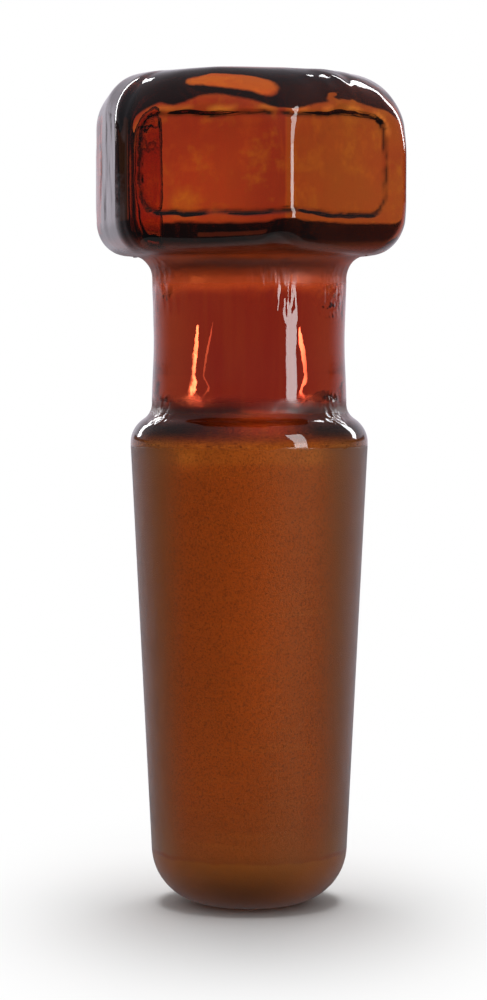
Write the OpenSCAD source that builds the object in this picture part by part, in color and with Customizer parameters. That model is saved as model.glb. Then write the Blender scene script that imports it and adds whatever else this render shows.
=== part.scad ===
// Solid pressed-glass stopper: a hexagonal finger head, a waisted neck, a rolled shoulder
// and a ground cone that seals in a standard tapered socket.
// Millimetres. +Z runs up the axis, and the foot stands on z = 0.

/* [Ground cone] */
// Diameter at the large end of the ground surface
joint_d = 12.5; // [11:0.1:16]
// Length of the ground surface, measured along the axis
ground_len = 21.4; // [16:0.2:26]
// Length in which the diameter changes by 1, so 10 is a standard 1 in 10 cone
taper_len = 10; // [8:0.5:20]

/* [Foot] */
// Radius of the rounding between the foot and the ground cone
foot_r = 3; // [1:0.1:4]

/* [Shoulder] */
// Height of the plain band between the ground surface and the shoulder
band_h = 0.15; // [0.05:0.05:1]
// Radius of the convex roll of the shoulder
roll_r = 1.5; // [0.6:0.1:2]
// Radius of the hollow in which the shoulder runs out into the neck
hollow_r = 0.95; // [0.4:0.05:1.5]

/* [Neck] */
// Diameter at the waist, where the neck is narrowest
waist_d = 10.1; // [8:0.1:10.7]
// How much wider than its waist the neck is at each end
spread_d = 0.2; // [0:0.05:0.25]
// Height from the large end of the ground surface to the underside of the head
neck_h = 9.9; // [8:0.1:14]
// Radius of the cove between the neck and the underside of the head
cove_r = 1.2; // [0.6:0.1:1.6]

/* [Head] */
// Width of the hexagon across its flats
head_af = 15; // [14:0.1:20]
// Height of the head
head_h = 9.5; // [7:0.1:14]
// Radius of the upright edges between the flats
edge_r = 0.7; // [0.3:0.1:1.5]
// Radius of the rounding at the top of the head
top_r = 2.9; // [1:0.1:3.5]
// Radius of the rounding at the underside of the head
under_r = 1.85; // [0.8:0.05:2.1]

/* [Hidden] */

// A multiple of 12 puts a facet's corner exactly on each flat of the hexagon
rounding_fn = 36;
revolve_fn = 96;
arc_steps = 10;

// Foot: the rounding leaves at least this much flat to stand on
least_foot_flat_r = 1;
cone_angle = atan(0.5 / taper_len);
joint_r = joint_d / 2;
small_r = joint_r - ground_len * 0.5 / taper_len;
foot_round = min(foot_r, (small_r - least_foot_flat_r) / cos(cone_angle));
foot_flat_r = small_r - foot_round * cos(cone_angle);
ground_low_z = foot_round * (1 - sin(cone_angle));
ground_high_z = ground_low_z + ground_len;

// Shoulder: roll and hollow meet at the angle that spans the step from cone to neck
neck_end_r = (waist_d + spread_d) / 2;
step = joint_r - neck_end_r;
shoulder_angle = step < roll_r + hollow_r ? acos(1 - step / (roll_r + hollow_r)) : 90;
roll_z = ground_high_z + band_h;
hollow_z = roll_z + (roll_r + hollow_r) * sin(shoulder_angle);

// Cove: it crosses the underside of the head before it has turned a full quarter
head_z = ground_high_z + neck_h;
cove_angle = 65;
cove_z = head_z - cove_r * sin(cove_angle);
root_len = 0.5;
root_h = 1.5;

// Points on an arc round a centre, from one angle to another
function arc(centre, r, from, to) =
    [for (i = [0:arc_steps]) let (a = from + (to - from) * i / arc_steps)
        centre + r * [cos(a), sin(a)]];

// Points down one side of the neck, which narrows smoothly to its waist
function waist(low_z, high_z) =
    [for (i = [1:2 * arc_steps - 1]) let (u = i / (2 * arc_steps))
        [(waist_d + spread_d * (1 + cos(360 * u)) / 2) / 2, low_z + (high_z - low_z) * u]];

// Half section of everything below the head, from the foot up to its root in the head
stem_outline = concat(
    [[0, 0]],
    arc([foot_flat_r, foot_round], foot_round, -90, -cone_angle),
    [[joint_r, ground_high_z]],
    arc([joint_r - roll_r, roll_z], roll_r, 0, shoulder_angle),
    arc([neck_end_r + hollow_r, hollow_z], hollow_r, 180 + shoulder_angle, 180),
    waist(hollow_z, cove_z),
    arc([neck_end_r + cove_r, cove_z], cove_r, 180, 180 - cove_angle),
    [[neck_end_r + cove_r * (1 - cos(cove_angle)) + root_len * sin(cove_angle),
      head_z + root_len * cos(cove_angle)],
     [0, head_z + root_h]]);

// Foot, ground cone, shoulder and neck, turned as one
module stem() {
    rotate_extrude($fn = revolve_fn)
        polygon(stem_outline);
}

// Puts a rounding of radius r inside each corner of the hexagon
module at_corners(r) {
    for (i = [0:5])
        rotate(60 * i)
            translate([(head_af / 2 - r) / cos(30), 0, 0])
                children();
}

// Ball whose facets reach the full radius at the poles and at the equator
module full_ball(r) {
    sphere(r = r / cos(180 / rounding_fn), $fn = rounding_fn);
}

// Hexagonal head: soft at the top, tighter underneath, with crisp upright edges
module head() {
    translate([0, 0, head_z])
        hull() {
            at_corners(under_r)
                translate([0, 0, under_r])
                    full_ball(under_r);
            at_corners(edge_r)
                translate([0, 0, under_r])
                    cylinder(r = edge_r, h = head_h - under_r - top_r, $fn = rounding_fn);
            at_corners(top_r)
                translate([0, 0, head_h - top_r])
                    full_ball(top_r);
        }
}

// The whole stopper is one piece of amber glass
module stopper() {
    color("saddlebrown")
        union() {
            stem();
            head();
        }
}

stopper();
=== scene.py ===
"""Amber glass stopper: a pressed hexagonal head, a waisted neck and a ground cone.

The stopper is one solid piece of glass. Its skin is swept ring by ring from the foot to the
top of the head, the marks of the mould are pressed into it, and one glass finish covers it:
fire-polished above the cone and finely ground on it.
"""

import logging
import math
from dataclasses import dataclass, field
from enum import Enum
from typing import Any, Iterable, Mapping, Optional

import bpy
import numpy as np
from mathutils import Euler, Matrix, Quaternion, Vector, noise


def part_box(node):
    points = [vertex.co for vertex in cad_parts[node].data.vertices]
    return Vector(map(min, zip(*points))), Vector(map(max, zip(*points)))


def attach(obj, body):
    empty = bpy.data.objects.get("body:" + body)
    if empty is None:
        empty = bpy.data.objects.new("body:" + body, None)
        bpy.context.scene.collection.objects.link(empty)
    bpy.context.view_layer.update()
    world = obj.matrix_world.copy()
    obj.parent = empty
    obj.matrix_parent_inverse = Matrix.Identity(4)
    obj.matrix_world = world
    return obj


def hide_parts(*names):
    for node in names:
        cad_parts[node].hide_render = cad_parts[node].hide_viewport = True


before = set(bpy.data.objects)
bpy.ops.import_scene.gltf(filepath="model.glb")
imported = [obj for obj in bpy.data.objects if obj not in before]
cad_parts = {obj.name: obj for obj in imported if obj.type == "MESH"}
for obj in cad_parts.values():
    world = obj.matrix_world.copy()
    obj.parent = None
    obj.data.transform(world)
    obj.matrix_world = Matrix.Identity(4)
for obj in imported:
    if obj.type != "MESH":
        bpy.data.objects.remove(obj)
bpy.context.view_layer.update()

MM = 0.001
SIDES = 6
NODE = "stopper"
FRONT_EDGE = 300.0
LEFT_EDGE = 240.0
CREASE_SHADE = "crease_shade"
RIM_HIGHLIGHT = "rim"
LOG = logging.getLogger("stopper")
Tree = bpy.types.NodeTree
Socket = bpy.types.NodeSocket


def linear(colour: str) -> tuple[float, float, float, float]:
    """Turns an sRGB hex colour into linear light.

    Args:
        colour: Six hex digits after a hash, such as "#7a3b1c".

    Returns:
        Red, green, blue and an alpha of 1.
    """
    parts = [int(colour[i:i + 2], 16) / 255 for i in (1, 3, 5)]
    light = [c / 12.92 if c <= 0.04045 else ((c + 0.055) / 1.055) ** 2.4 for c in parts]
    return (*light, 1.0)


def add_node(tree: Tree, kind: str, settings: Optional[Mapping[str, Any]] = None,
             links: Optional[Mapping[Any, Socket]] = None) -> bpy.types.Node:
    """Adds one node with its settings and links.

    Args:
        tree: The node tree that gets the node.
        kind: The node's type without "ShaderNode", such as "TexNoise".
        settings: Property names, input names or input numbers, and their values.
        links: Input names or numbers, and the sockets that feed them.

    Returns:
        The new node.
    """
    node = tree.nodes.new("ShaderNode" + kind)
    for key, value in (settings or {}).items():
        if isinstance(key, str) and hasattr(node, key):
            setattr(node, key, value)
        else:
            node.inputs[key].default_value = value
    for key, socket in (links or {}).items():
        tree.links.new(socket, node.inputs[key])
    return node


def smooth_step(value: Any, low: float, high: float) -> np.ndarray:
    """Rises smoothly from 0 at low to 1 at high."""
    t = np.clip((value - low) / (high - low), 0.0, 1.0)
    return t * t * (3 - 2 * t)


def sample(points: np.ndarray) -> np.ndarray:
    """Gradient noise at each point, from about -1 to 1."""
    values = (noise.noise(p) for p in points.tolist())
    return np.fromiter(values, float, len(points))


def turned_away(angles: np.ndarray, middle: float) -> np.ndarray:
    """How far each angle, in radians, is turned from a middle one, in degrees: 0 to 180."""
    return np.abs((np.degrees(angles) - middle + 180) % 360 - 180)


def make_piece(name: str, points: list[Any], faces: list[Any]) -> bpy.types.Object:
    """Makes a mesh and puts it in the scene.

    Args:
        name: Name of the object and of its mesh.
        points: The mesh's points in metres.
        faces: The numbers of each face's points.

    Returns:
        The object.
    """
    mesh = bpy.data.meshes.new(name)
    mesh.from_pydata(points, [], faces)
    piece = bpy.data.objects.new(name, mesh)
    bpy.context.scene.collection.objects.link(piece)
    return piece


@dataclass(frozen=True)
class Ramp:
    """A value that changes from one place to another, and stays level before and after.

    Attributes:
        start: Where it begins to change.
        end: Where it has changed.
        low: Its value up to the start.
        high: Its value from the end on.
        eased: Whether it eases in and out. Otherwise it is straight.
    """

    start: float
    end: float
    low: float = 0.0
    high: float = 1.0
    eased: bool = True

    def along(self, tree: Tree, place: Socket) -> Socket:
        """Lays the ramp along a measured length.

        Args:
            tree: The node tree.
            place: The length.

        Returns:
            The value.
        """
        return add_node(tree, "MapRange", {
            "interpolation_type": "SMOOTHSTEP" if self.eased else "LINEAR",
            "From Min": self.start, "From Max": self.end, "To Min": self.low, "To Max": self.high,
        }, {"Value": place}).outputs[0]


@dataclass(frozen=True)
class Band:
    """A mask that is 1 between two places and 0 elsewhere.

    Attributes:
        low: Where the band begins.
        high: Where it ends.
        soft: Half the length over which it comes and goes.
    """

    low: float
    high: float
    soft: float

    def along(self, tree: Tree, place: Socket) -> Socket:
        """Lays the band along a measured length.

        Args:
            tree: The node tree.
            place: The length.

        Returns:
            The mask.
        """
        rise = Ramp(self.low - self.soft, self.low + self.soft).along(tree, place)
        fall = Ramp(self.high - self.soft, self.high + self.soft, 1.0, 0.0).along(tree, place)
        return add_node(tree, "Math", {"operation": "MULTIPLY"}, {0: rise, 1: fall}).outputs[0]


@dataclass
class Ring:
    """One ring of the skin: its height, and its radius at each angle, in millimetres."""

    z: float
    radius: np.ndarray


@dataclass
class Angles:
    """Angles round the axis, crowded at the hexagon's upright edges.

    Attributes:
        per_side: Points along one side of the hexagon.
        crowding: 0 spreads them evenly, and near 1 they gather at the edges.
    """

    per_side: int = 50
    crowding: float = 0.7
    values: np.ndarray = field(init=False)

    def __post_init__(self) -> None:
        """Works out the angles, in radians, from the edge on +X."""
        u = np.arange(self.per_side) / self.per_side
        share = u - self.crowding * np.sin(2 * np.pi * u) / (2 * np.pi)
        sides = np.arange(SIDES)[:, None]
        self.values = ((sides + share[None, :]) * 2 * np.pi / SIDES).ravel()

    def even(self, radius: float) -> np.ndarray:
        """A round ring's radii."""
        return np.full(self.values.size, radius)


@dataclass
class Stem:
    """Foot, ground cone, shoulder and neck, all turned about the axis. Millimetres.

    Attributes:
        joint_r: Radius of the cone at its large end.
        ground_len: Length of the ground surface along the axis.
        taper_len: Length in which the cone's diameter changes by 1.
        foot_r: Radius of the rounding between the foot and the cone.
        band_h: Height of the plain band above the ground surface.
        roll_r: Radius of the shoulder's convex roll.
        hollow_r: Radius of the hollow that runs out into the neck.
        waist_r: Radius of the neck at its waist.
        spread: How much larger the radius is at the neck's ends.
        neck_h: Height from the ground surface to the underside of the head.
        cove_r: Radius of the cove under the head.
    """

    joint_r: float = 6.25
    ground_len: float = 21.4
    taper_len: float = 10.0
    foot_r: float = 3.0
    band_h: float = 0.15
    roll_r: float = 1.5
    hollow_r: float = 0.95
    waist_r: float = 5.05
    spread: float = 0.1
    neck_h: float = 9.9
    cove_r: float = 1.2

    def __post_init__(self) -> None:
        """Works out where each stretch of the outline begins and ends."""
        self.lean = math.atan(0.5 / self.taper_len)
        small_r = self.joint_r - self.ground_len * 0.5 / self.taper_len
        self.foot_flat_r = small_r - self.foot_r * math.cos(self.lean)
        self.ground_low = self.foot_r * (1 - math.sin(self.lean))
        self.ground_high = self.ground_low + self.ground_len
        self.end_r = self.waist_r + self.spread
        step = (self.joint_r - self.end_r) / (self.roll_r + self.hollow_r)
        self.shoulder_turn = math.acos(1 - step)
        self.roll_z = self.ground_high + self.band_h
        rise = (self.roll_r + self.hollow_r) * math.sin(self.shoulder_turn)
        self.hollow_z = self.roll_z + rise
        self.head_z = self.ground_high + self.neck_h
        self.cove_z = self.head_z - self.cove_r

    def outline(self) -> list[tuple[float, float]]:
        """Works out the half section from the foot up to the cove.

        Returns:
            Radius and height of each ring, from low to high.
        """
        foot = [(self.foot_flat_r * u, 0.0) for u in self.shares(4)[:-1]]
        sole = self.arc(self.foot_flat_r, self.foot_r, self.foot_r, -90, -math.degrees(self.lean), 22)
        low_r = sole[-1][0]
        cone = [(low_r + (self.joint_r - low_r) * u, self.ground_low + self.ground_len * u)
                for u in self.shares(16)]
        turn = math.degrees(self.shoulder_turn)
        roll = self.arc(self.joint_r - self.roll_r, self.roll_z, self.roll_r, 0, turn, 20)
        hollow = self.arc(self.end_r + self.hollow_r, self.hollow_z, self.hollow_r, 180 + turn, 180, 14)
        neck = [(self.waist_r + self.spread * (1 + math.cos(2 * math.pi * u)) / 2,
                 self.hollow_z + (self.cove_z - self.hollow_z) * u) for u in self.shares(74)]
        return foot + sole + cone + roll + hollow[1:] + neck

    @staticmethod
    def shares(count: int) -> list[float]:
        """A stretch split into equal steps: the share covered after each."""
        return [i / count for i in range(1, count + 1)]

    @staticmethod
    def arc(r: float, z: float, radius: float, start: float, end: float,
            steps: int) -> list[tuple[float, float]]:
        """Points on an arc of the outline.

        Args:
            r: Radius at which the arc's centre lies.
            z: Height of its centre.
            radius: The arc's own radius.
            start: First angle, in degrees from straight out.
            end: Last angle.
            steps: Number of equal steps.

        Returns:
            Radius and height of each point.
        """
        turns = np.radians(np.linspace(start, end, steps + 1))
        return [(r + radius * math.cos(a), z + radius * math.sin(a)) for a in turns]

    def rings(self, angles: Angles) -> list[Ring]:
        """The round rings, from the foot up to the start of the cove."""
        return [Ring(z, angles.even(r)) for r, z in self.outline()]


@dataclass
class Head:
    """Hexagonal finger head: soft on top, tighter underneath. Millimetres.

    The mould filled unevenly: no two upright edges are alike, two flats stand a little proud, and
    the rounding at the top is tighter at the back.

    Attributes:
        flat: Distance from the axis to a flat.
        low: Height of the underside.
        high: Height of the top.
        edges_r: Radius of each upright edge, from the one on +X.
        proud: Middle and half width of each proud flat, in degrees, and how far it stands out.
        proud_fade: Angle over which a proud flat comes and goes, in degrees.
        flat_top_r: Radius of the rounding from a flat to the top.
        edge_top_r: Radius of the rounding from an upright edge to the top.
        tighter: Share by which the rounding at the top is tighter at the back.
        back: Direction of the back, in degrees from +X.
        under_r: Radius of the rounding at the underside.
        top_corner_r: Radius of the corners once they reach the top.
        under_corner_r: Radius of the corners once they reach the underside.
        cove_steps: Steps between the rings of the cove.
        under_steps: Steps of the rounding at the underside.
        belt_steps: Steps of the upright flats, and of the rounding at the top.
        lid_steps: Steps from the top's rim to its middle.
    """

    flat: float
    low: float
    high: float
    edges_r: tuple[float, ...] = (1.1, 1.4, 1.5, 1.0, 2.0, 1.4)
    proud: tuple[tuple[float, float, float], ...] = ((210.0, 27.0, 0.17), (150.0, 27.0, 0.3))
    proud_fade: float = 8.0
    flat_top_r: float = 2.2
    edge_top_r: float = 2.9
    under_r: float = 1.85
    top_corner_r: float = 3.3
    under_corner_r: float = 2.2
    tighter: float = 0.42
    back: float = 107.0
    cove_steps: int = 18
    under_steps: int = 26
    belt_steps: int = 45
    lid_steps: int = 10

    def outline(self, angles: Angles, flat: Any, corner: Any) -> np.ndarray:
        """A hexagon with rounded corners.

        Args:
            angles: Where its radius is wanted.
            flat: Distance from the axis to its flats, one or one for each angle.
            corner: Radius of its corners, one or one for each angle.

        Returns:
            The radius at each angle.
        """
        half = math.pi / SIDES
        for middle, width, out in self.proud:
            away = turned_away(angles.values, middle)
            flat = flat + out * smooth_step(away, width, width - self.proud_fade)
        off = np.abs((angles.values + half) % (2 * half) - half)
        centre = (flat - corner) / math.cos(half)
        ends = np.arctan2(corner * math.sin(half), centre + corner * math.cos(half))
        on_arc = np.sqrt(np.maximum(corner ** 2 - (centre * np.sin(off)) ** 2, 0.0))
        return np.where(off < ends, centre * np.cos(off) + on_arc, flat / np.cos(half - off))

    def corners_at(self, z: float, angles: Angles) -> np.ndarray:
        """How round the nearest upright edge is. The edges are softer at both ends.

        Args:
            z: The height.
            angles: Where the radius is wanted.

        Returns:
            Radius of the edge nearest each angle.
        """
        nearest = np.round(angles.values / (2 * math.pi / SIDES)).astype(int) % SIDES
        edge = np.array(self.edges_r)[nearest]
        top = smooth_step(self.high - z, 1.5 * self.edge_top_r, 0.35 * self.edge_top_r)
        low = smooth_step(z - self.low, 1.5 * self.under_r, 0.3 * self.under_r)
        return edge + (self.top_corner_r - edge) * top + (self.under_corner_r - edge) * low

    def top_rounding(self, angles: Angles) -> np.ndarray:
        """How round the edge of the top is: more at the upright edges, less at the back.

        Args:
            angles: Where the radius is wanted.

        Returns:
            Radius of the rounding at each angle.
        """
        edge = (1 + np.cos(angles.values * SIDES)) / 2
        rear = smooth_step(np.cos(angles.values - math.radians(self.back)), 0.2, 0.6)
        radius = self.flat_top_r + (self.edge_top_r - self.flat_top_r) * edge ** 0.7
        return radius * (1 - self.tighter * rear)

    def rings(self, angles: Angles, stem: Stem) -> list[Ring]:
        """The rings from the cove under the head to the middle of its top.

        Args:
            angles: Angles of the points on each ring.
            stem: The stem that the head grows out of.

        Returns:
            The rings from low to high.
        """
        belt_low, belt_high = self.low + self.under_r, self.high - self.edge_top_r
        belt = self.outline(angles, self.flat, self.corners_at(belt_low, angles))
        inner = self.outline(angles, self.flat - self.under_r, self.under_corner_r)
        # Where a flat leaves too little room for both roundings, both get narrower
        wanted = stem.cove_r + belt - inner
        share = (belt - stem.end_r) / wanted
        squeeze = share / (1 + share ** 8) ** 0.125
        cove_w = stem.cove_r * squeeze
        under_w = (belt - inner) * squeeze
        rings = []
        for a in np.radians(np.linspace(0, 90, self.cove_steps + 1)[1:]):
            rings.append(Ring(stem.cove_z + stem.cove_r * math.sin(a),
                              stem.end_r + cove_w * (1 - math.cos(a))))
        reach = stem.end_r + cove_w
        for i in range(1, 4):
            rings.append(Ring(self.low, reach + (belt - under_w - reach) * i / 4))
        for a in np.radians(np.linspace(0, 90, self.under_steps + 1)):
            z = self.low + self.under_r * (1 - math.cos(a))
            edge = self.outline(angles, self.flat, self.corners_at(z, angles))
            rings.append(Ring(z, edge - under_w * (1 - math.sin(a))))
        for i in range(1, self.belt_steps):
            z = belt_low + (belt_high - belt_low) * i / self.belt_steps
            rings.append(Ring(z, self.outline(angles, self.flat, self.corners_at(z, angles))))
        round_r = self.top_rounding(angles)
        for a in np.radians(np.linspace(0, 90, self.belt_steps + 1)):
            z = belt_high + self.edge_top_r * math.sin(a)
            climb = np.clip((z - self.high + round_r) / round_r, 0.0, 1.0)
            flat = self.flat - round_r * (1 - np.sqrt(1 - climb ** 2))
            rings.append(Ring(z, self.outline(angles, flat, self.corners_at(z, angles))))
        rim = rings[-1].radius
        for i in range(1, self.lid_steps):
            rings.append(Ring(self.high, rim * (1 - i / self.lid_steps)))
        return rings


@dataclass(frozen=True)
class Ripple:
    """One kind of mark that the mould and the chill leave in the skin.

    Attributes:
        size: Length of a ripple along X, Y and Z, in millimetres.
        depth: Depth of the deepest ones, in millimetres.
        low: Height where they begin.
        high: Height where they end.
        fade: Height over which they come and go.
        patch: Size of the patches they come in, in millimetres, or 0 for an even cover.
        seed: Moves the pattern.
        around: Middle of the sector they are in, in degrees from +X, or None for all round.
        sector: Half the sector's width, in degrees.
    """

    size: tuple[float, float, float]
    depth: float
    low: float
    high: float
    fade: float
    patch: float = 0.0
    seed: float = 0.0
    around: Optional[float] = None
    sector: float = 30.0

    def inward(self, points: np.ndarray) -> np.ndarray:
        """How far each point is pressed in.

        Args:
            points: Points of the skin, in millimetres, one to a row.

        Returns:
            Depths in millimetres, never below 0.
        """
        z = points[:, 2]
        share = smooth_step(z, self.low, self.low + self.fade)
        share = share * (1 - smooth_step(z, self.high - self.fade, self.high))
        wave = sample(points / np.array(self.size) + self.seed)
        if self.patch:
            cover = sample(points / self.patch + self.seed + 31.0)
            share = share * smooth_step(cover, -0.05, 0.3)
        if self.around is not None:
            off = turned_away(np.arctan2(points[:, 1], points[:, 0]), self.around)
            share = share * (1 - smooth_step(off, self.sector - 8, self.sector + 4))
        return self.depth * share * (0.5 + 0.5 * wave)


@dataclass(frozen=True)
class Wave:
    """An irregular wave in a pressed mark.

    Attributes:
        height: Its height above and below 0.
        length: Its length in millimetres.
        seed: Moves the wave.
    """

    height: float
    length: float
    seed: float

    def at(self, points: np.ndarray) -> np.ndarray:
        """The wave's value at each point."""
        return self.height * sample(points / self.length + self.seed)


@dataclass(frozen=True)
class Panel:
    """Where the hot glass lay against the mould: two flats and the crisp edge between them.

    The patch froze flat. Its border is a fine uneven crease, painted dark as shade, with a
    painted highlight line outside it. There are three such panels round the head.

    Attributes:
        left: Distance from the crisp edge to the crease on one side, in millimetres.
        right: The same on the other side.
        low: Height of the crease's low side.
        high: Height of its high side.
        corner: Radius of its corners.
        width: Half the width of the crease.
        rim_off: Distance from the crease to the middle of the painted highlight line.
        rim_width: Half the width of the painted highlight line.
        depth: Depth of the crease.
        sunk: How far the patch lies below the skin round it.
        bends: Long bends of the crease, in millimetres.
        nibbles: Short ones.
        uneven: How its depth changes on the way.
        broken: How the painted highlight line comes and goes.
        flat: Distance from the axis to a flat.
        clear: Which of the three is the clearest, as an angle from +X in degrees.
        faint: How clear the other two are, from 0 to 1.
    """

    left: float
    right: float
    low: float
    high: float
    flat: float
    clear: float = FRONT_EDGE
    faint: float = 0.05
    corner: float = 1.0
    width: float = 0.13
    rim_off: float = 0.3
    rim_width: float = 0.12
    depth: float = 0.05
    sunk: float = 0.05
    bends: Wave = Wave(0.2, 2.8, 3.0)
    nibbles: Wave = Wave(0.07, 0.55, 8.0)
    uneven: Wave = Wave(0.6, 0.45, 17.0)
    broken: Wave = Wave(1.0, 1.3, 23.0)

    def inward(self, points: np.ndarray) -> np.ndarray:
        """How far each point is pressed in.

        Args:
            points: Points of the skin, in millimetres, one to a row.

        Returns:
            Depths in millimetres, never below 0.
        """
        crease, patch, _ = self.shares(points)
        return self.depth * crease + self.sunk * patch

    def shares(self, points: np.ndarray) -> tuple[np.ndarray, np.ndarray, np.ndarray]:
        """How much each point belongs to the crease, to the flat patch and to the painted highlight
        line.

        Args:
            points: Points of the skin, in millimetres, one to a row.

        Returns:
            Share of the crease, share of the patch and share of the painted highlight line at each
            point.
        """
        x, y, z = points.T
        # Fold the three panels onto one, and unroll its two flats from the crisp edge
        third = 2 * math.pi / 3
        turn = (np.arctan2(y, x) - math.pi / 3 + third / 2) % third - third / 2
        side = np.where(turn < 0, -1.0, 1.0)
        length = np.hypot(x, y)
        along = length * np.sin(turn - side * math.pi / SIDES)
        half = self.flat * math.tan(math.pi / SIDES)
        p = along + side * half
        wander = self.bends.at(points) + self.nibbles.at(points)
        # Distance to the outline of a rectangle with round corners, below 0 inside it
        across = np.abs(p - (self.right - self.left) / 2) - ((self.right + self.left) / 2 - self.corner)
        up = np.abs(z - (self.low + self.high) / 2) - ((self.high - self.low) / 2 - self.corner)
        outside = np.hypot(np.maximum(across, 0), np.maximum(up, 0))
        edge = outside + np.minimum(np.maximum(across, up), 0) - self.corner + wander
        deep = np.clip(0.65 + self.uneven.at(points), 0.15, 1.2)
        crease = deep * np.exp(-(edge / self.width) ** 2)
        patch = smooth_step(edge, 0.16, -0.16)
        whole = smooth_step(self.broken.at(points), -0.35, 0.25)
        rim = np.exp(-((edge - self.rim_off) / self.rim_width) ** 2) * whole
        # The painted highlight line runs along the panel's upper part only
        rim *= smooth_step(z, self.high - 2.6, self.high - 0.8)
        clear = np.where(turned_away(np.arctan2(y, x), self.clear) < 60, 1.0, self.faint)
        # Nothing well below the panel, and nothing near the axis, where all three would meet
        clear *= smooth_step(z, self.low - 1.5, self.low - 0.8) * smooth_step(length, 4.0, 5.0)
        return clear * crease, clear * patch, clear * rim


class Place:
    """A point of the skin inside a finish's node tree, and what is measured from it. Millimetres.

    Attributes:
        WANDER: How far the hand-ground edge wanders from lowest to highest.
        tree: The node tree.
        mm: The point.
        height: Its height.
        line: The same height, wandering as the edge of hand grinding does.
    """

    WANDER = 0.35

    def __init__(self, tree: Tree) -> None:
        """Adds the nodes that find the point and its heights.

        Args:
            tree: The node tree.
        """
        self.tree = tree
        metres = add_node(tree, "TexCoord").outputs["Object"]
        self.mm = add_node(tree, "VectorMath", {
            "operation": "SCALE", "Scale": 1 / MM}, {0: metres}).outputs[0]
        self.height = add_node(tree, "SeparateXYZ", links={0: self.mm}).outputs["Z"]
        wander = Pattern((1.25, 1.25, 1.25), 3.0).over(self)
        wander = add_node(tree, "Math", {
            "operation": "MULTIPLY_ADD", 1: self.WANDER, 2: -self.WANDER / 2}, {0: wander}).outputs[0]
        self.line = add_node(tree, "Math", {"operation": "ADD"}, {0: self.height, 1: wander}).outputs[0]

    def toward(self, angle: float) -> Socket:
        """How far the point lies from the axis in one level direction.

        Args:
            angle: The direction, in degrees from +X.

        Returns:
            The distance, below 0 on the far side of the axis.
        """
        turn = math.radians(angle)
        return add_node(self.tree, "VectorMath", {
            "operation": "DOT_PRODUCT", 1: (math.cos(turn), math.sin(turn), 0)},
            {0: self.mm}).outputs["Value"]

    def away(self, spot: tuple[float, float, float]) -> Socket:
        """Distance from a spot."""
        return add_node(self.tree, "VectorMath", {
            "operation": "DISTANCE", 1: spot}, {0: self.mm}).outputs["Value"]


@dataclass(frozen=True)
class Pattern:
    """An irregular pattern in or on the glass.

    Attributes:
        size: Size of its patches along X, Y and Z, in millimetres.
        detail: How many layers of finer patches it has.
        rough: How strong the finer ones are.
    """

    size: tuple[float, float, float]
    detail: float = 2.0
    rough: float = 0.5

    def over(self, place: Place) -> Socket:
        """Spreads the pattern over the skin.

        Args:
            place: The point of the skin.

        Returns:
            The pattern's value there, about 0.5 on average.
        """
        spread = add_node(place.tree, "VectorMath", {
            "operation": "DIVIDE", 1: self.size}, {0: place.mm}).outputs[0]
        return add_node(place.tree, "TexNoise", {
            "Scale": 1.0, "Detail": self.detail, "Roughness": self.rough},
            {"Vector": spread}).outputs[0]


@dataclass(frozen=True)
class Wrinkles:
    """A small patch of fine wrinkles, where the hot skin crept against the mould. Millimetres.

    Attributes:
        at: Middle of the patch.
        reach: Radius of the patch.
        size: Length of a wrinkle along X, Y and Z.
        depth: Height from the lowest to the highest.
    """

    at: tuple[float, float, float]
    reach: float
    size: tuple[float, float, float]
    depth: float

    def height(self, place: Place) -> Socket:
        """Works out the wrinkled skin.

        Args:
            place: The point of the skin.

        Returns:
            Its height in millimetres.
        """
        edge = Ramp(self.reach, 0.35 * self.reach, high=self.depth)
        cover = edge.along(place.tree, place.away(self.at))
        crease = Pattern(self.size, 0.4).over(place)
        return add_node(place.tree, "Math", {"operation": "MULTIPLY"}, {0: cover, 1: crease}).outputs[0]


def lay(tree: Tree, under: Any, *coats: tuple[Any, Socket]) -> Socket:
    """Lays tints over one another, each as strongly as its mask lets it.

    Args:
        tree: The node tree.
        under: The lowest tint, as a hex colour or a socket.
        coats: The tints from low to high, each with its mask.

    Returns:
        The finished tint.
    """
    for coat, mask in coats:
        settings, links = {"data_type": "RGBA"}, {0: mask}
        for slot, tint in ((6, under), (7, coat)):
            if isinstance(tint, str):
                settings[slot] = linear(tint)
            else:
                links[slot] = tint
        under = add_node(tree, "Mix", settings, links).outputs[2]
    return under


class Material(Enum):
    """Names of the finishes in the scene."""

    GLASS = "amber_soda_lime_glass"
    FLOOR = "pale_bench_laminate"
    CARD = "black_flocked_card"


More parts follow.
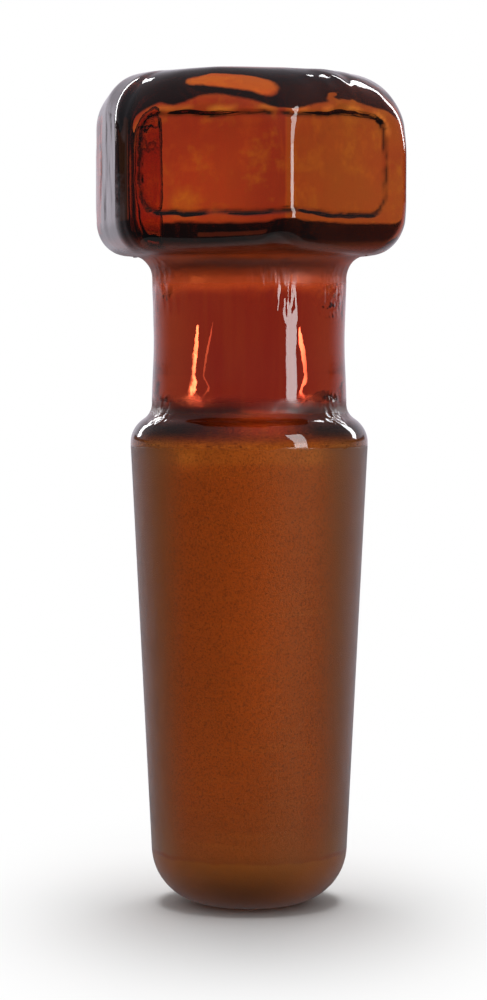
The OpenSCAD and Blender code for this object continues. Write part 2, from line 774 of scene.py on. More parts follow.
@dataclass(frozen=True)
class AmberGlass:
    """Amber soda-lime glass: iron and sulphur colour it brown right through.

    Pressed in a mould and fire-polished, so its head, neck and shoulder are wet-looking and
    slightly uneven. The cone is ground matt with fine grit; the grey at its edges is its sheen and a
    painted sheen.

    Attributes:
        ior: Refractive index of soda-lime glass.
        passed: Colour that is left of white light after a long way through the glass.
        density: How fast the other colours are taken out, per metre.
        polished: Roughness of the fire-polished skin.
        ground: Roughness of the ground cone.
        dull: Roughness of the cove and the hollow, where the glass chilled against the mould.
        rubbed: Roughness of the foot, dulled by wear.
        frost: Weight of the pale sheen that the ground cone has at its sides.
        frosted: Colour of that sheen.
        spread: How far it reaches from the sides to the front.
        glare: Tint of the light that the ground cone throws straight back.
        uneven: How much rougher or smoother the matt skin is in patches.
        grit: Size of the pits left by the grinding grit, in millimetres.
        grit_deep: Depth of those pits.
        peel_deep: Depth of the orange peel.
        amber: Tint of the head where the glass is most amber.
        russet: Tint of the head where it is reddest.
        deep: Tint of the head beside the front edge, where it is darkest.
        crease_shade: Painted shade in the crease round a pressed panel.
        rim_highlight: Painted highlight: tint of the bright line outside that crease.
        left_edge_shade: Painted shade down the upright edge at the left, darkening what is seen through
            it.
        under: Painted shade on the rounding at the underside of the head, darker than the rest.
        honey: Tint of the lightest spots in the head.
        neck: Tint of the neck in front and behind.
        side: Tint of the neck at its two sides, painted lighter and browner than in front.
        cove: Tint of the cove, painted much lighter than the neck as light gathered there.
        shoulder: Painted shade on the shoulder's roll at its two sides.
        cone: Tint of the ground cone.
        low_shade_and_line: Painted shade at the cone's low end; also the tint of the darker line where
            the foot meets the cone.
        flank: Painted sheen: pale tint of the cone at its two sides as the camera sees them.
        pitted: Tint of the deeper pits of the cone.
        collar: Tint of the grinding rings, and painted light on the cone's edge just under the
            shoulder.
        sole: Tint of the foot.
        stand: Painted shade on the foot where it stands, darkest at the floor.
        clouds: Clouds of amber in the head.
        flecks: Honey-coloured flecks in the head.
        streaks: Streaks drawn out along the neck.
        rings: Rings that the grinding left round the cone.
        blush: Uneven dullness of the matt skin.
        peel: Orange peel of the fire-polished skin.
        spot: Middle of one honey-coloured spot, in millimetres.
        across_view: Direction square to the camera's line of sight, in degrees from +X: the sides
            painted with light and shade lie along it.
        wrinkles: Patches of fine wrinkles, too fine for the mesh.
    """

    ior: float = 1.52
    passed: str = "#edc747"
    density: float = 110.0
    polished: float = 0.02
    ground: float = 0.4
    dull: float = 0.45
    rubbed: float = 0.46
    frost: float = 0.5
    frosted: str = "#b6c0d2"
    spread: float = 0.35
    glare: str = "#b3bc95"
    uneven: float = 0.08
    grit: float = 0.055
    grit_deep: float = 0.034
    peel_deep: float = 0.02
    amber: str = "#a05e2a"
    russet: str = "#b83e2a"
    deep: str = "#7c1f20"
    crease_shade: str = "#120806"
    rim_highlight: str = "#ffc070"
    left_edge_shade: str = "#050406"
    under: str = "#3a1c28"
    honey: str = "#e09a30"
    neck: str = "#84261e"
    side: str = "#964226"
    cove: str = "#e46432"
    shoulder: str = "#2c2226"
    cone: str = "#c46124"
    low_shade_and_line: str = "#8c4724"
    flank: str = "#8a6e56"
    pitted: str = "#783e1c"
    collar: str = "#cc7a30"
    sole: str = "#a8682e"
    stand: str = "#402414"
    clouds: Pattern = Pattern((3.2, 3.2, 3.2), 4.0, 0.6)
    flecks: Pattern = Pattern((1.3, 1.3, 1.3), 3.0, 0.65)
    streaks: Pattern = Pattern((0.45, 0.45, 9.0))
    rings: Pattern = Pattern((6.0, 6.0, 0.35))
    blush: Pattern = Pattern((1.43, 1.43, 1.43), 4.0)
    peel: Pattern = Pattern((0.7, 0.7, 0.7))
    spot: tuple[float, float, float] = (-1.2, -7.5, 36.6)
    across_view: float = 17.0
    wrinkles: tuple[Wrinkles, ...] = (
        Wrinkles((6.0, -4.2, 42.9), 1.6, (0.8, 0.8, 0.5), 0.1),
        Wrinkles((-6.5, -3.8, 39.0), 5.2, (1.1, 1.1, 2.6), 0.06),
        Wrinkles((2.6, -4.3, 32.4), 2.0, (0.22, 0.22, 0.8), 0.06),
        Wrinkles((-3.4, -3.8, 33.2), 1.6, (0.35, 0.35, 0.5), 0.08),
        Wrinkles((4.9, -1.4, 32.2), 1.7, (0.3, 0.3, 0.4), 0.08),
        Wrinkles((-3.4, -3.9, 25.9), 1.2, (0.3, 0.3, 0.4), 0.08),
        Wrinkles((4.9, -1.7, 26.1), 1.3, (0.3, 0.3, 0.4), 0.09),
    )

    def material(self, stem: Stem) -> bpy.types.Material:
        """Builds the finish.

        Args:
            stem: Gives the heights at which the finish changes.

        Returns:
            The material.
        """
        mat = bpy.data.materials.new(Material.GLASS.value)
        mat.use_nodes = True
        tree = mat.node_tree
        tree.nodes.clear()
        place = Place(tree)
        ground = Band(-1.0, stem.ground_high, 0.08).along(tree, place.line)
        foot = Band(-1.0, stem.ground_low, 0.1).along(tree, place.line)
        cove = Band(stem.cove_z - 0.3, stem.head_z + 0.3, 0.5).along(tree, place.line)
        hollow = Band(stem.hollow_z - 0.5, stem.hollow_z + 0.2, 0.4).along(tree, place.line)
        chilled = add_node(tree, "Math", {"operation": "MAXIMUM"}, {0: cove, 1: hollow}).outputs[0]
        sheen = add_node(tree, "Math", {"operation": "MULTIPLY", 1: self.frost}, {0: ground}).outputs[0]
        shader = add_node(tree, "BsdfPrincipled", {
            "IOR": self.ior, "Transmission Weight": 1.0, "Sheen Roughness": self.spread,
            "Sheen Tint": linear(self.frosted),
        }, {
            "Base Color": self.tint(place, foot, cove, stem),
            "Roughness": self.roughness(place, ground, foot, chilled),
            "Specular Tint": lay(tree, "#ffffff", (self.glare, ground)),
            "Sheen Weight": sheen,
            "Normal": self.relief(place, ground),
        })
        body = add_node(tree, "VolumeAbsorption", {
            "Color": linear(self.passed), "Density": self.density})
        out = add_node(tree, "OutputMaterial")
        tree.links.new(shader.outputs[0], out.inputs["Surface"])
        tree.links.new(body.outputs[0], out.inputs["Volume"])
        return mat

    def tint(self, place: Place, foot: Socket, cove: Socket, stem: Stem) -> Socket:
        """Colours the glass from the foot up to the head, and lays painted shade and a painted
        highlight line over it.

        Args:
            place: The point of the skin.
            foot: Mask of the foot.
            cove: Mask of the cove.
            stem: Gives the heights.

        Returns:
            The tint.
        """
        tree = place.tree
        above_cone = Ramp(stem.ground_high - 0.1, stem.roll_z + 0.8).along(tree, place.height)
        above_neck = Ramp(stem.head_z - 0.1, stem.head_z + 1.0).along(tree, place.height)
        glass = lay(tree, self.cone_tint(place, stem), (self.neck_tint(place, cove, stem), above_cone),
                    (self.head_tint(place, stem), above_neck))
        # Painted shade in a line down the left upright edge
        at_left = Band(7.4, 10.0, 0.3).along(tree, place.toward(LEFT_EDGE))
        left_edge_shade_mask = Band(-1.1, 0.0, 0.12).along(tree, place.toward(LEFT_EDGE + 90))
        left_edge_shade_mask = add_node(tree, "Math", {"operation": "MULTIPLY"}, {0: left_edge_shade_mask, 1: at_left}).outputs[0]
        # Painted shade on the underside's rounding, weaker to the right
        under = Band(stem.head_z - 0.1, stem.head_z + 1.45, 0.35).along(tree, place.line)
        leftward = Ramp(1.0, 6.5, 0.88, 0.45, eased=False).along(tree, place.toward(FRONT_EDGE + 90))
        under = add_node(tree, "Math", {"operation": "MULTIPLY"}, {0: under, 1: leftward}).outputs[0]
        # Painted highlight line outside each panel's crease, and painted shade in the crease
        rim_highlight = add_node(tree, "Attribute", {"attribute_name": RIM_HIGHLIGHT}).outputs["Fac"]
        crease = add_node(tree, "Attribute", {"attribute_name": CREASE_SHADE}).outputs["Fac"]
        # A sole painted darker towards the floor as shade, clearing upwards, and a darker line where it
        # meets the cone
        base = Ramp(0.0, 2.2).along(tree, place.height)
        low_shade_and_line = Band(stem.ground_low - 0.05, stem.ground_low + 0.15, 0.1).along(tree, place.line)
        sole = lay(tree, self.stand, (self.sole, base))
        return lay(tree, glass, (self.left_edge_shade, left_edge_shade_mask), (self.under, under), (self.rim_highlight, rim_highlight),
                   (self.crease_shade, crease), (sole, foot), (self.low_shade_and_line, low_shade_and_line))

    def head_tint(self, place: Place, stem: Stem) -> Socket:
        """Russet left of the front edge and amber right of it, with clouds and honey flecks.

        Args:
            place: The point of the skin.
            stem: Gives the height of the head.

        Returns:
            The tint.
        """
        tree = place.tree
        across = place.toward(FRONT_EDGE + 90)
        # Amber right of the front edge, and at the top
        near = Ramp(-2.0, 2.0, eased=False).along(tree, place.toward(FRONT_EDGE))
        side = Ramp(-0.12, 0.12, -0.5, 0.5, eased=False).along(tree, across)
        side = add_node(tree, "Math", {"operation": "MULTIPLY"}, {0: side, 1: near}).outputs[0]
        share = add_node(tree, "Math", {"operation": "ADD"},
                         {0: side, 1: self.clouds.over(place)}).outputs[0]
        top = Ramp(stem.head_z + 7.6, stem.head_z + 8.6, high=1.6, eased=False)
        top = top.along(tree, place.height)
        share = add_node(tree, "Math", {"operation": "ADD"}, {0: share, 1: top}).outputs[0]
        # The russet side is darkest beside the front edge and in its upper part
        beside = Ramp(-3.2, -0.8, high=0.8).along(tree, across)
        above = Band(stem.head_z + 5.1, stem.head_z + 8.4, 1.6).along(tree, place.height)
        above = add_node(tree, "Math", {"operation": "MULTIPLY", 1: 0.6}, {0: above}).outputs[0]
        deep = add_node(tree, "Math", {"operation": "MAXIMUM"}, {0: beside, 1: above}).outputs[0]
        left = Ramp(0.5, 0.1, eased=False).along(tree, share)
        deep = add_node(tree, "Math", {"operation": "MULTIPLY"}, {0: deep, 1: left}).outputs[0]
        # Honey flecks all over, and one larger spot
        fleck = self.flecks.over(place)
        near_spot = Ramp(1.1, 0.1).along(tree, place.away(self.spot))
        spot = add_node(tree, "Math", {"operation": "MULTIPLY"}, {0: near_spot, 1: fleck}).outputs[0]
        light = Ramp(0.5, 0.8, high=0.4).along(tree, fleck)
        light = add_node(tree, "Math", {"operation": "ADD"}, {0: light, 1: spot}).outputs[0]
        return lay(tree, self.russet, (self.amber, share), (self.deep, deep), (self.honey, light))

    def neck_tint(self, place: Place, cove: Socket, stem: Stem) -> Socket:
        """Red in front with drawn-out streaks, painted lighter and browner at the sides and lighter in
        the cove, over a shoulder painted dark at its sides as shade.

        Args:
            place: The point of the skin.
            cove: Mask of the cove.
            stem: Gives the heights and the width of the neck.

        Returns:
            The tint.
        """
        tree = place.tree
        # Painted light: the neck's sides as the camera sees them are lighter and browner, with streaks
        # mixed in
        sides = self.sideways(place, 0.45 * stem.waist_r, 0.9 * stem.waist_r)
        streak = Ramp(0.45, 0.75, high=0.45, eased=False).along(tree, self.streaks.over(place))
        brown = add_node(tree, "Math", {"operation": "MAXIMUM"}, {0: sides, 1: streak}).outputs[0]
        # Painted shade: the shoulder's roll darkens toward its two sides
        roll = Band(stem.roll_z + 0.3, stem.hollow_z - 0.9, 0.3).along(tree, place.height)
        outer = self.sideways(place, 0.3 * stem.waist_r, 0.75 * stem.waist_r)
        dark = add_node(tree, "Math", {"operation": "MULTIPLY"}, {0: roll, 1: outer}).outputs[0]
        # The cove is painted lighter, as light gathered there
        return lay(tree, self.neck, (self.side, brown), (self.cove, cove), (self.shoulder, dark))

    def cone_tint(self, place: Place, stem: Stem) -> Socket:
        """Rings and pits of the grinding, painted light under the shoulder, sides painted pale as a
        sheen, and a low end painted darker as shade.

        Args:
            place: The point of the skin.
            stem: Gives the heights and the width of the cone.

        Returns:
            The tint.
        """
        tree = place.tree
        # Painted shade: the cone darkens towards its low end
        rise = Ramp(stem.ground_low - 1, stem.ground_low + 5).along(tree, place.height)
        ring = Ramp(0.5, 0.8, high=0.35, eased=False).along(tree, self.rings.over(place))
        # Painted light: a lighter band on the cone just under the shoulder, in the tint of the grinding
        # rings
        collar = Band(stem.ground_high - 0.8, stem.ground_high + 0.3, 0.25).along(tree, place.height)
        collar = add_node(tree, "Math", {"operation": "MAXIMUM"}, {0: ring, 1: collar}).outputs[0]
        # Single pits are too fine to show, so the stain is drawn about twice as coarse
        stain = Pattern((2.2 * self.grit,) * 3, 3.0, 0.7).over(place)
        stain = Ramp(0.46, 0.66, high=0.9, eased=False).along(tree, stain)
        # Painted sheen: the cone's sides as the camera sees them are painted pale grey
        sides = self.sideways(place, 0.6 * stem.waist_r, 0.98 * stem.waist_r)
        return lay(tree, self.low_shade_and_line, (self.cone, rise), (self.collar, collar), (self.pitted, stain),
                   (self.flank, sides))

    def sideways(self, place: Place, start: float, end: float) -> Socket:
        """A mask of the stopper's two sides as the camera sees them, where light and shade are painted.

        Args:
            place: The point of the skin.
            start: Distance from the axis at which it begins, in millimetres.
            end: Distance at which it is full.

        Returns:
            The mask.
        """
        reach = add_node(place.tree, "Math", {"operation": "ABSOLUTE"},
                         {0: place.toward(self.across_view)}).outputs[0]
        return Ramp(start, end).along(place.tree, reach)

    def roughness(self, place: Place, ground: Socket, foot: Socket, chilled: Socket) -> Socket:
        """Smooth where it is fire-polished, dull where it chilled or rubbed, matt where it is ground.

        Args:
            place: The point of the skin.
            ground: Mask of the ground surface.
            foot: Mask of the foot.
            chilled: Mask of the cove and the hollow.

        Returns:
            The roughness.
        """
        tree = place.tree
        matt = add_node(tree, "Math", {
            "operation": "MULTIPLY_ADD", 1: 2 * self.uneven, 2: self.ground - self.uneven},
            {0: self.blush.over(place)}).outputs[0]
        skin = add_node(tree, "Mix", {2: self.polished, 3: self.dull}, {0: chilled}).outputs[0]
        sole = add_node(tree, "Mix", {3: self.rubbed}, {0: foot, 2: matt}).outputs[0]
        return add_node(tree, "Mix", {}, {0: ground, 2: skin, 3: sole}).outputs[0]

    def relief(self, place: Place, ground: Socket) -> Socket:
        """Pits of the grinding grit, wrinkles, and the faint orange peel of the polished skin.

        Args:
            place: The point of the skin.
            ground: Mask of the ground surface.

        Returns:
            The normal.
        """
        tree = place.tree
        creased = self.wrinkles[0].height(place)
        for patch in self.wrinkles[1:]:
            creased = add_node(tree, "Math", {"operation": "ADD"},
                               {0: creased, 1: patch.height(place)}).outputs[0]
        pits = Pattern((self.grit,) * 3).over(place)
        pits = add_node(tree, "Math", {"operation": "MULTIPLY"}, {0: pits, 1: ground}).outputs[0]
        wrinkled = add_node(tree, "Bump", {"Distance": MM}, {"Height": creased}).outputs[0]
        peeled = add_node(tree, "Bump", {"Strength": 0.3, "Distance": self.peel_deep * MM},
                          {"Height": self.peel.over(place), "Normal": wrinkled}).outputs[0]
        return add_node(tree, "Bump", {"Strength": 0.8, "Distance": self.grit_deep * MM},
                        {"Height": pits, "Normal": peeled}).outputs[0]


@dataclass
class Stopper:
    """The whole stopper: one piece of glass.

    Attributes:
        stem: Everything below the head.
        head: The head.
        glass: Its finish.
        marks: What the mould pressed into it.
        angles: Angles of the points on each ring.
        crease_shade_gain: How strongly painted shade fills a panel's crease. Above 1 it spreads to the
            crease's sides.
    """

    stem: Stem
    head: Head
    glass: AmberGlass
    marks: tuple[Ripple | Panel, ...]
    angles: Angles = field(default_factory=Angles)
    crease_shade_gain: float = 1.8

    def build(self) -> bpy.types.Object:
        """Makes the skin as one closed mesh.

        Returns:
            The stopper, in metres, in the frame's own place.
        """
        rings = self.stem.rings(self.angles) + self.head.rings(self.angles, self.stem)
        smooth = self.points(rings)
        middles = np.array([[0.0, 0.0, 0.0], [0.0, 0.0, self.head.high]])
        points = np.vstack([self.press(smooth).reshape(-1, 3), middles]) * MM
        faces = list(self.faces(len(rings), self.angles.values.size))
        piece = make_piece("stopper_glass", points.tolist(), faces)
        piece.data.shade_smooth()
        panels = [mark.shares(smooth.reshape(-1, 3)) for mark in self.marks if isinstance(mark, Panel)]
        crease, _, rim = (sum(part) for part in zip(*panels))
        # Painted shade for the creases and a painted highlight line beside them, stored on the points
        # for the finish
        for name, share in ((CREASE_SHADE, self.crease_shade_gain * crease), (RIM_HIGHLIGHT, rim)):
            layer = piece.data.attributes.new(name, "FLOAT", "POINT")
            layer.data.foreach_set("value", np.append(np.clip(share, 0, 1), np.zeros(len(middles))))
        piece.data.update()
        LOG.info("stopper_glass: %d points, %d faces", len(points), len(faces))
        return piece

    def points(self, rings: list[Ring]) -> np.ndarray:
        """Places the points of all rings.

        Args:
            rings: The rings from low to high.

        Returns:
            The points in millimetres, as rings by angles by XYZ.
        """
        cos, sin = np.cos(self.angles.values), np.sin(self.angles.values)
        return np.array([np.stack([r.radius * cos, r.radius * sin, np.full(cos.size, r.z)], axis=1)
                         for r in rings])

    def press(self, skin: np.ndarray) -> np.ndarray:
        """Presses the marks of the mould into the skin, along its normals.

        Args:
            skin: Points as rings by angles by XYZ.

        Returns:
            The moved points.
        """
        along = np.gradient(skin, axis=0)
        around = np.roll(skin, -1, axis=1) - np.roll(skin, 1, axis=1)
        normal = np.cross(around, along)
        normal /= np.maximum(np.linalg.norm(normal, axis=2, keepdims=True), 1e-12)
        flat = skin.reshape(-1, 3)
        depth = sum(mark.inward(flat) for mark in self.marks)
        return skin - normal * depth.reshape(skin.shape[:2])[:, :, None]

    @staticmethod
    def faces(rings: int, count: int) -> Iterable[tuple[int, ...]]:
        """Faces between the rings, and a fan at each end.

        Args:
            rings: Number of rings.
            count: Number of points on each.

        Yields:
            The numbers of each face's points.
        """
        foot, top = rings * count, rings * count + 1
        for i in range(count):
            yield foot, (i + 1) % count, i
        for row in range(rings - 1):
            for i in range(count):
                j = (i + 1) % count
                yield row * count + i, row * count + j, (row + 1) * count + j, (row + 1) * count + i
        last = (rings - 1) * count
        for i in range(count):
            yield top, last + i, last + (i + 1) % count

    def dress(self, piece: bpy.types.Object) -> None:
        """Gives the stopper its finish and ties it to the frame.

        Args:
            piece: The built stopper.
        """
        piece.data.materials.append(self.glass.material(self.stem))
        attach(piece, "root")
        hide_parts(NODE)


class Lights(Enum):
    """What a lamp is flagged to light."""

    GLOSS = "gloss"
    FLOOR = "floor"
    THROUGH = "through"


@dataclass(frozen=True)
class Softbox:
    """One soft studio lamp.

    Attributes:
        name: What the lamp is.
        bearing: Degrees round the stopper from the camera, positive to the camera's right.
        rise: Degrees above the point that it is aimed at.
        away: Distance from that point, in metres.
        width: Width in metres.
        height: Height in metres.
        glow: Brightness of its face, where 1 is white.
        lights: What it is flagged to light.
        roll: Degrees that it leans to the side.
        aim: Height of the point that it is aimed at, in metres, or None for half the stopper's height.
        beam: Full angle of its beam in degrees: 180 without a grid.
        cool: Colour of a small lamp behind the neck. All others are white.
    """

    name: str
    bearing: float
    rise: float
    away: float
    width: float
    height: float
    glow: float
    lights: Lights = Lights.GLOSS
    roll: float = 0.0
    aim: Optional[float] = None
    beam: float = 180.0
    cool: str = "#b4ecff"

    def hang(self, toward: Vector, target: Vector) -> bpy.types.Object:
        """Hangs the lamp so that it points at the stopper.

        Args:
            toward: Unit vector from the stopper to the lamp.
            target: The point that it is aimed at unless it has an aim of its own.

        Returns:
            The lamp.
        """
        slit = self.lights is Lights.THROUGH
        half = math.radians(self.beam / 2)
        face = self.width * self.height * (math.pi / 4 if slit else 1.0)
        data = bpy.data.lights.new(self.name, "AREA")
        data.shape = "ELLIPSE" if slit else "RECTANGLE"
        data.color = linear(self.cool)[:3] if slit else (1.0, 1.0, 1.0)
        data.size = self.width
        data.size_y = self.height
        data.spread = 2 * half
        # A narrower beam takes less power for the same brightness
        data.energy = self.glow * math.pi * face * (1 - half / math.tan(half))
        lamp = bpy.data.objects.new(self.name, data)
        point = target if self.aim is None else Vector((0, 0, self.aim))
        lamp.location = point + toward * self.away
        lamp.rotation_mode = "QUATERNION"
        lean = Quaternion((0, 0, 1), math.radians(self.roll))
        lamp.rotation_quaternion = toward.to_track_quat("Z", "Y") @ lean
        lamp.visible_camera = False
        lamp.visible_diffuse = self.lights is Lights.FLOOR
        lamp.visible_glossy = self.lights is Lights.GLOSS
        lamp.visible_transmission = slit
        bpy.context.scene.collection.objects.link(lamp)
        LOG.info("%s: %.4f W", self.name, data.energy)
        return lamp


@dataclass(frozen=True)
class Patch:
    """A soft-edged round patch of the surroundings. Angles are in degrees.

    Attributes:
        bearing: Bearing of its middle from the camera, positive to the camera's right.
        rise: Rise of its middle.
        outer: Angle from its middle at which it begins.
        inner: Angle from its middle within which it is full.
        around: Value outside it.
        inside: Value inside it, where 1 is white.
    """

    bearing: float
    rise: float
    outer: float
    inner: float
    around: float = 0.0
    inside: float = 1.0


@dataclass
class Studio:
    """Pale floor, soft lamps, plain surroundings and the camera. Metres, and angles in degrees.

    Attributes:
        target: Middle of the stopper, at which most lamps are aimed.
        camera_bearing: Turn of the camera about the stopper, from -Y.
        camera_away: Distance from the stopper's axis to the camera.
        camera_height: Height of the camera.
        camera_tilt: How far it looks down.
        camera_lens: Focal length in millimetres.
        camera_shift: Sideways shift of the lens.
        eye_level: The stretch of white wall that the glass shows, as the height of a unit vector.
        front: The wall's darker part, in front of the stopper.
        pale: Pale patches that are seen through the glass.
        wall: The wall behind, as the glass mirrors it.
        flags: Dark flags before that wall.
        flags_high: The stretch that the flags cover, as the height of a unit vector.
        flags_dark: Share of the light that a flag takes away.
        gleam: A brighter part of the mirrored wall.
        fill: Soft light from the wall behind that lights the floor.
        card: Two top-view corners of the black card behind the head.
        card_low: Height of its low edge.
        card_high: Height of its high edge.
        floor_r: Radius of the floor.
        floor_sides: Number of straight sides that its edge is made of.
        floor_oval: Half the width and half the depth of the oval in which the floor is seen.
        floor_fade: How the floor fades into the background, where 1 is the oval's edge.
        floor_plain: Least share of the background that the glass sees in the floor.
        floor_dim: Brightness of that background as the glass sees it.
        lamps: The lamps.
    """

    target: Vector
    camera_bearing: float = 17.1
    camera_away: float = 158.2 * MM
    camera_height: float = 30.3 * MM
    camera_tilt: float = 3.245
    camera_lens: float = 108.0
    camera_shift: float = -0.0057
    eye_level: Band = Band(-0.10, 0.11, 0.025)
    front: Patch = Patch(0, 0, 75, 45, 1.0, 0.5)
    pale: tuple[Patch, ...] = (
        Patch(-174, -21, 10.5, 7.5, 0.02, 1.7),
        Patch(-179, 14.5, 2.6, 1.0, 0.0, 0.35),
        Patch(-30, 0, 50, 30, 0.0, 1.1),
        Patch(180, 90, 70, 50, 0.0, 0.5),
    )
    wall: Patch = Patch(180, 0, 72.5, 18, 0.0, 0.64)
    flags: tuple[Patch, Patch] = (Patch(-134, 4, 22, 17), Patch(132, 4, 24, 19))
    flags_high: Band = Band(0.035, 0.11, 0.015)
    flags_dark: float = 0.85
    gleam: Patch = Patch(-158, 6, 9, 4, 0.0, 0.16)
    fill: Patch = Patch(180, 20, 115, 20, 0.24, 0.72)
    card: tuple[tuple[float, float], ...] = ((3.7 * MM, 37.2 * MM), (18.0 * MM, 31.5 * MM))
    card_low: float = 35.9 * MM
    card_high: float = 50.0 * MM
    floor_r: float = 0.034
    floor_sides: int = 96
    floor_oval: tuple[float, float] = (13.5 * MM, 26.0 * MM)
    floor_fade: Ramp = Ramp(0.42, 1.3)
    floor_plain: float = 0.6
    floor_dim: float = 0.25
    lamps: tuple[Softbox, ...] = (
        Softbox("left_strip", -146, 25, 0.30, 0.037, 0.20, 9.0, roll=29),
        Softbox("right_strip", 137, 31, 0.30, 0.042, 0.28, 9.0, roll=-29),
        Softbox("low_strip", 50.5, 1.5, 0.30, 0.070, 0.090, 8.5),
        Softbox("high_strip", 50.5, 26, 0.30, 0.074, 0.17, 6.5),
        Softbox("left_slit", 161.3, 0, 0.030, 0.0009, 0.0064, 70.0, Lights.THROUGH, -10, 0.0284, 21),
        Softbox("left_spot", 160.0, 0, 0.030, 0.0017, 0.0030, 70.0, Lights.THROUGH, -10, 0.0265, 15),
        Softbox("left_thread", 166.4, 0, 0.030, 0.0004, 0.0066, 7.0, Lights.THROUGH, -16, 0.0283, 28),
        Softbox("right_slit", -161.3, 0, 0.030, 0.0011, 0.0066, 76.0, Lights.THROUGH, 16, 0.0282, 21),
        Softbox("overhead", 180, 81, 0.50, 0.24, 0.34, 8.3, Lights.FLOOR),
    )

    def direction(self, bearing: float, rise: float) -> Vector:
        """Turns a bearing and a rise into a direction.

        Args:
            bearing: Degrees round the stopper from the camera, positive to the camera's right.
            rise: Degrees above the level.

        Returns:
            Unit vector from the stopper.
        """
        turn = math.radians(self.camera_bearing + bearing)
        up = math.radians(rise)
        return Vector((math.sin(turn) * math.cos(up), -math.cos(turn) * math.cos(up), math.sin(up)))

    def place_camera(self) -> None:
        """Stands the camera before the stopper, a little above its middle."""
        data = bpy.data.cameras.new("camera")
        data.lens = self.camera_lens
        data.shift_x = self.camera_shift
        data.clip_start = 1 * MM
        camera = bpy.data.objects.new("camera", data)
        spot = self.direction(0, 0) * self.camera_away
        camera.location = (spot.x, spot.y, self.camera_height)
        tilt = math.radians(90 - self.camera_tilt)
        camera.rotation_euler = Euler((tilt, 0, math.radians(self.camera_bearing)))
        bpy.context.scene.collection.objects.link(camera)
        bpy.context.scene.camera = camera
        LOG.info("camera at %.0f mm", self.camera_away / MM)

    def hang_lamps(self) -> None:
        """Hangs every lamp."""
        for box in self.lamps:
            box.hang(self.direction(box.bearing, box.rise), self.target)

    def stand_card(self) -> None:
        """Stands a black card behind the head, which darkens what is seen through its left edge."""
        (x1, y1), (x2, y2) = self.card
        low, high = self.card_low, self.card_high
        corners = [(x1, y1, low), (x2, y2, low), (x2, y2, high), (x1, y1, high)]
        card = make_piece("black_card", corners, [(0, 1, 2, 3)])
        for unseen in ("camera", "diffuse", "glossy", "shadow"):
            setattr(card, "visible_" + unseen, False)
        mat = bpy.data.materials.new(Material.CARD.value)
        mat.use_nodes = True
        shader = mat.node_tree.nodes["Principled BSDF"]
        shader.inputs["Base Color"].default_value = linear("#0c0c0d")
        shader.inputs["Roughness"].default_value = 0.9
        card.data.materials.append(mat)

    def surround(self) -> None:
        """White behind for the camera, a lit wall at eye level for the glass, and a dim room."""
        world = bpy.data.worlds.new("studio")
        bpy.context.scene.world = world
        world.use_nodes = True
        tree = world.node_tree
        tree.nodes.clear()
        look = add_node(tree, "TexCoord").outputs["Generated"]
        z = add_node(tree, "SeparateXYZ", links={0: look}).outputs["Z"]
        rays = add_node(tree, "LightPath").outputs
        gloss = add_node(tree, "Mix", {}, {
            0: rays["Is Glossy Ray"], 2: self.patch(tree, look, self.fill),
            3: self.mirrored(tree, look, z)}).outputs[0]
        glass = add_node(tree, "Mix", {}, {
            0: rays["Is Transmission Ray"], 2: gloss, 3: self.seen_through(tree, look, z)}).outputs[0]
        shown = add_node(tree, "Mix", {3: 1.0}, {0: rays["Is Camera Ray"], 2: glass}).outputs[0]
        clear = add_node(tree, "Math", {"operation": "SUBTRACT"}, {
            0: rays["Is Glossy Ray"], 1: rays["Is Transmission Ray"]}).outputs[0]
        sky = add_node(tree, "Background", {}, {
            "Strength": shown, "Color": lay(tree, "#ffffff", ("#faf3ff", clear))})
        out = add_node(tree, "OutputWorld")
        tree.links.new(sky.outputs[0], out.inputs["Surface"])

    def patch(self, tree: Tree, look: Socket, patch: Patch) -> Socket:
        """Adds a patch to the surroundings.

        Args:
            tree: The world's node tree.
            look: The direction that is looked in.
            patch: The patch.

        Returns:
            Its value in that direction.
        """
        near = add_node(tree, "VectorMath", {
            "operation": "DOT_PRODUCT", 1: self.direction(patch.bearing, patch.rise)},
            {0: look}).outputs["Value"]
        outer, inner = (math.cos(math.radians(r)) for r in (patch.outer, patch.inner))
        return Ramp(outer, inner, patch.around, patch.inside).along(tree, near)

    def seen_through(self, tree: Tree, look: Socket, z: Socket) -> Socket:
        """White wall at eye level, and pale patches above and below it.

        Args:
            tree: The world's node tree.
            look: The direction that is looked in.
            z: Its height.

        Returns:
            The brightness that the glass lets through.
        """
        shown = add_node(tree, "Math", {"operation": "MULTIPLY"}, {
            0: self.eye_level.along(tree, z), 1: self.patch(tree, look, self.front)}).outputs[0]
        for patch in self.pale:
            shown = add_node(tree, "Math", {"operation": "MAXIMUM"},
                             {0: shown, 1: self.patch(tree, look, patch)}).outputs[0]
        return shown

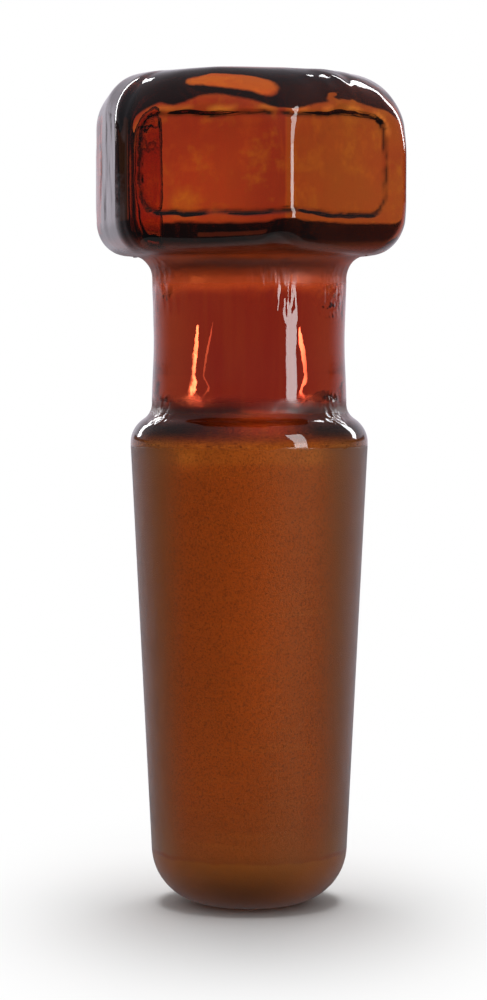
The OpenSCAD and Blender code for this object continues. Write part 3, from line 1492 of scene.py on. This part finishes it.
    def mirrored(self, tree: Tree, look: Socket, z: Socket) -> Socket:
        """Bright wall behind with dark flags before it, and a dim room in front of it.

        Args:
            tree: The world's node tree.
            look: The direction that is looked in.
            z: Its height.

        Returns:
            The brightness that the glass mirrors.
        """
        left, right = (self.patch(tree, look, flag) for flag in self.flags)
        flag = add_node(tree, "Math", {"operation": "MAXIMUM"}, {0: left, 1: right}).outputs[0]
        flag = add_node(tree, "Math", {"operation": "MULTIPLY"},
                        {0: flag, 1: self.flags_high.along(tree, z)}).outputs[0]
        shaded = add_node(tree, "Math", {
            "operation": "MULTIPLY_ADD", 1: -self.flags_dark, 2: 1.0}, {0: flag}).outputs[0]
        level = add_node(tree, "Math", {"operation": "ABSOLUTE"}, {0: z}).outputs[0]
        lit = add_node(tree, "Math", {"operation": "MULTIPLY_ADD"}, {
            0: self.patch(tree, look, self.wall), 1: Ramp(0.15, 0.72, 1.0, 0.15).along(tree, level),
            2: self.patch(tree, look, self.gleam)}).outputs[0]
        room = Ramp(-0.3, 0.9, 0.07, 0.28).along(tree, z)
        both = add_node(tree, "Math", {"operation": "ADD"}, {0: lit, 1: room}).outputs[0]
        return add_node(tree, "Math", {"operation": "MULTIPLY"}, {0: both, 1: shaded}).outputs[0]

    def lay_floor(self) -> None:
        """Lays a round pale floor under the stopper."""
        turns = [2 * math.pi * i / self.floor_sides for i in range(self.floor_sides)]
        rim = [(self.floor_r * math.cos(a), self.floor_r * math.sin(a), 0.0) for a in turns]
        floor = make_piece("floor", rim, [tuple(range(self.floor_sides))])
        # Just low enough for the foot not to share its plane
        floor.location.z = -0.01 * MM
        floor.data.materials.append(self.floor_finish())

    def floor_finish(self) -> bpy.types.Material:
        """Matt white laminate that keeps the stopper's shadow and fades into the background.

        Returns:
            The material.
        """
        mat = bpy.data.materials.new(Material.FLOOR.value)
        mat.use_nodes = True
        tree = mat.node_tree
        tree.nodes.clear()
        place = add_node(tree, "TexCoord").outputs["Object"]
        square = add_node(tree, "VectorRotate", {
            "rotation_type": "Z_AXIS", "Angle": -math.radians(self.camera_bearing)},
            {0: place}).outputs[0]
        oval = add_node(tree, "VectorMath", {"operation": "DIVIDE", 1: (*self.floor_oval, 1.0)},
                        {0: square}).outputs[0]
        length = add_node(tree, "VectorMath", {"operation": "LENGTH"}, {0: oval}).outputs["Value"]
        fade = self.floor_fade.along(tree, length)
        rays = add_node(tree, "LightPath").outputs
        direct = rays["Is Camera Ray"]
        seen = direct
        for ray in ("Is Glossy Ray", "Is Transmission Ray"):
            seen = add_node(tree, "Math", {"operation": "MAXIMUM"}, {0: seen, 1: rays[ray]}).outputs[0]
        least = add_node(tree, "Mix", {2: self.floor_plain}, {0: direct, 3: fade}).outputs[0]
        wide = add_node(tree, "Math", {"operation": "MAXIMUM"}, {0: least, 1: fade}).outputs[0]
        share = add_node(tree, "Math", {"operation": "MULTIPLY"}, {0: wide, 1: seen}).outputs[0]
        matt = add_node(tree, "BsdfDiffuse", {"Color": linear("#e8e8e8")})
        level = add_node(tree, "Mix", {2: self.floor_dim, 3: 1.0}, {0: direct}).outputs[0]
        white = add_node(tree, "Emission", {"Color": linear("#ffffff")}, {"Strength": level})
        mix = add_node(tree, "MixShader", links={0: share, 1: matt.outputs[0], 2: white.outputs[0]})
        out = add_node(tree, "OutputMaterial")
        tree.links.new(mix.outputs[0], out.inputs["Surface"])
        return mat

    def build(self) -> None:
        """Makes the whole studio."""
        self.place_camera()
        self.hang_lamps()
        self.stand_card()
        self.surround()
        self.lay_floor()
        bpy.context.scene.view_settings.view_transform = "Standard"


def main() -> None:
    """Builds the stopper and its studio, and notes the sizes."""
    logging.basicConfig(level=logging.INFO, format="%(name)s: %(message)s")
    low, high = (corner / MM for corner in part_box(NODE))
    stem = Stem()
    head = Head(flat=(high.y - low.y) / 2, low=stem.head_z, high=high.z)
    LOG.info("head %.2f mm high, top at %.2f mm", head.high - head.low, head.high)
    marks = (
        # The head: all over, at the top right of the front, and at its left side
        Ripple((3.0, 3.0, 3.5), 0.035, head.low + 0.3, head.high + 5, 1.0),
        Ripple((0.75, 0.75, 0.9), 0.055, head.high - 2.3, head.high + 5, 1.0,
               seed=11.0, around=-24, sector=30),
        Ripple((1.3, 1.3, 3.5), 0.03, head.low + 0.5, head.high - 1, 1.5,
               seed=4.0, around=-150, sector=26),
        # The neck, its cove, and its hollow over the shoulder
        Ripple((2.6, 2.6, 9.0), 0.035, stem.roll_z, stem.head_z + 1, 1.2, seed=9.0),
        Ripple((0.4, 0.4, 1.5), 0.05, stem.cove_z - 2.6, stem.head_z + 0.6, 1.6, seed=3.0),
        Ripple((0.4, 0.4, 0.7), 0.04, stem.hollow_z - 0.9, stem.hollow_z + 1.3, 0.8,
               patch=1.4, seed=7.0),
        Panel(7.715, 6.85, head.low + 2.05, head.high - 2.5, head.flat),
    )
    stopper = Stopper(stem, head, AmberGlass(), marks)
    stopper.dress(stopper.build())
    Studio(target=Vector((0, 0, (head.high / 2) * MM))).build()


if __name__ == "__main__":
    main()
